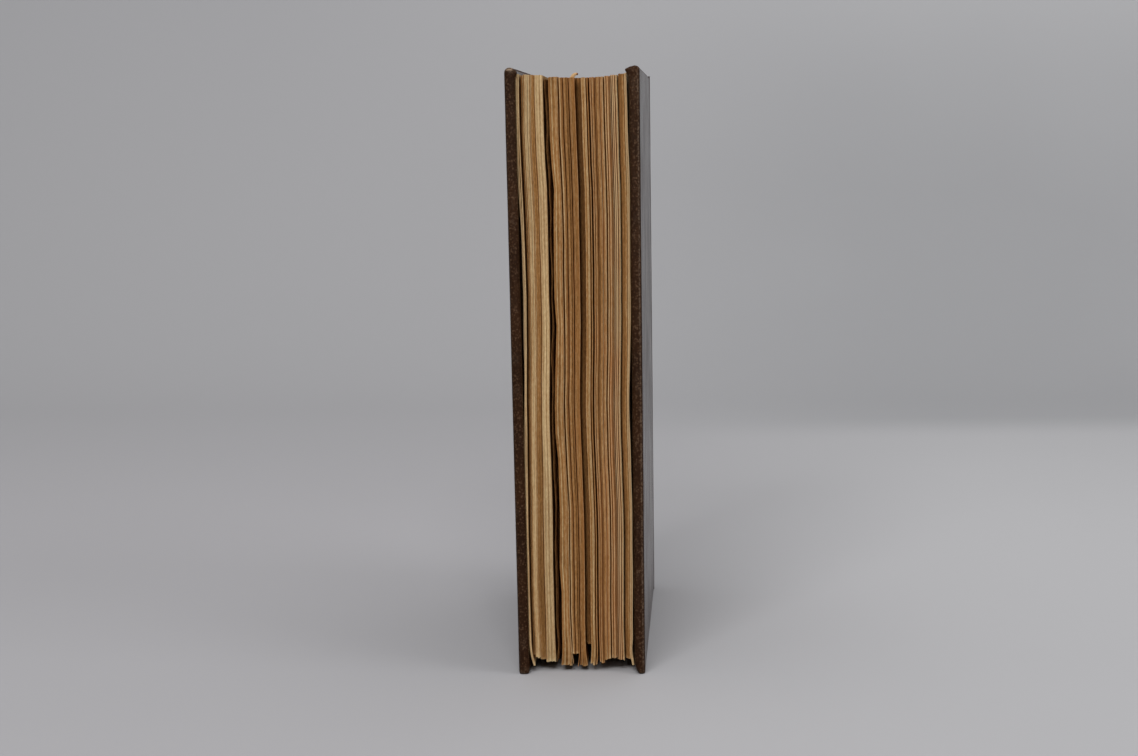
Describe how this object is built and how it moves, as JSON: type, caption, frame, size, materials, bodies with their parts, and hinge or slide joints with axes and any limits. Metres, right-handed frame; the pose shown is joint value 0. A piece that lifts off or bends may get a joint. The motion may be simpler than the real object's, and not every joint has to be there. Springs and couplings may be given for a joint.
{
  "type": "leather-bound book",
  "caption": "Antique book with worn leather over boards, a rounded spine and uneven bundles of aged leaves; its covers swing open on leather joints.",
  "frame": {"origin": "on the shelf, under the middle of the book's bounding box, with the book standing on its tail edges", "axes": "+X from the front cover to the back cover, +Y from the fore-edge to the spine, +Z from tail to head"},
  "size_m": [0.0526, 0.1728, 0.24],
  "materials": {
    "leaves": "aged uncoated rag paper, tan edges",
    "endpaper": "aged uncoated paper",
    "board": "pressed paper board",
    "leather": "dark brown pebbled leather, worn at the edges",
    "card": "thin card",
    "tape": "linen tape",
    "lining": "glued paper",
    "band": "worked thread"
  },
  "bodies": {
    "book_block": {"text_block": "leaves", "front_flyleaf": "endpaper", "back_flyleaf": "endpaper", "spine_leather": "leather", "spine_inlay": "card", "sewing_tapes": "tape", "spine_linings": "lining", "head_band": "band", "tail_band": "band"},
    "front_cover": {"front_board": "board", "front_cover_leather": "leather", "front_pastedown": "endpaper"},
    "back_cover": {"back_board": "board", "back_cover_leather": "leather", "back_pastedown": "endpaper"}
  },
  "joints": [
    {"name": "front_cover_hinge", "type": "hinge", "parent": "book_block", "child": "front_cover", "pos_m": [-0.02525, 0.07565, 0], "axis": [0.0044, 0, -1], "range_deg": [0, 180]},
    {"name": "back_cover_hinge", "type": "hinge", "parent": "book_block", "child": "back_cover", "pos_m": [0.02525, 0.07565, 0], "axis": [0.0044, 0, 1], "range_deg": [0, 180]}
  ]
}
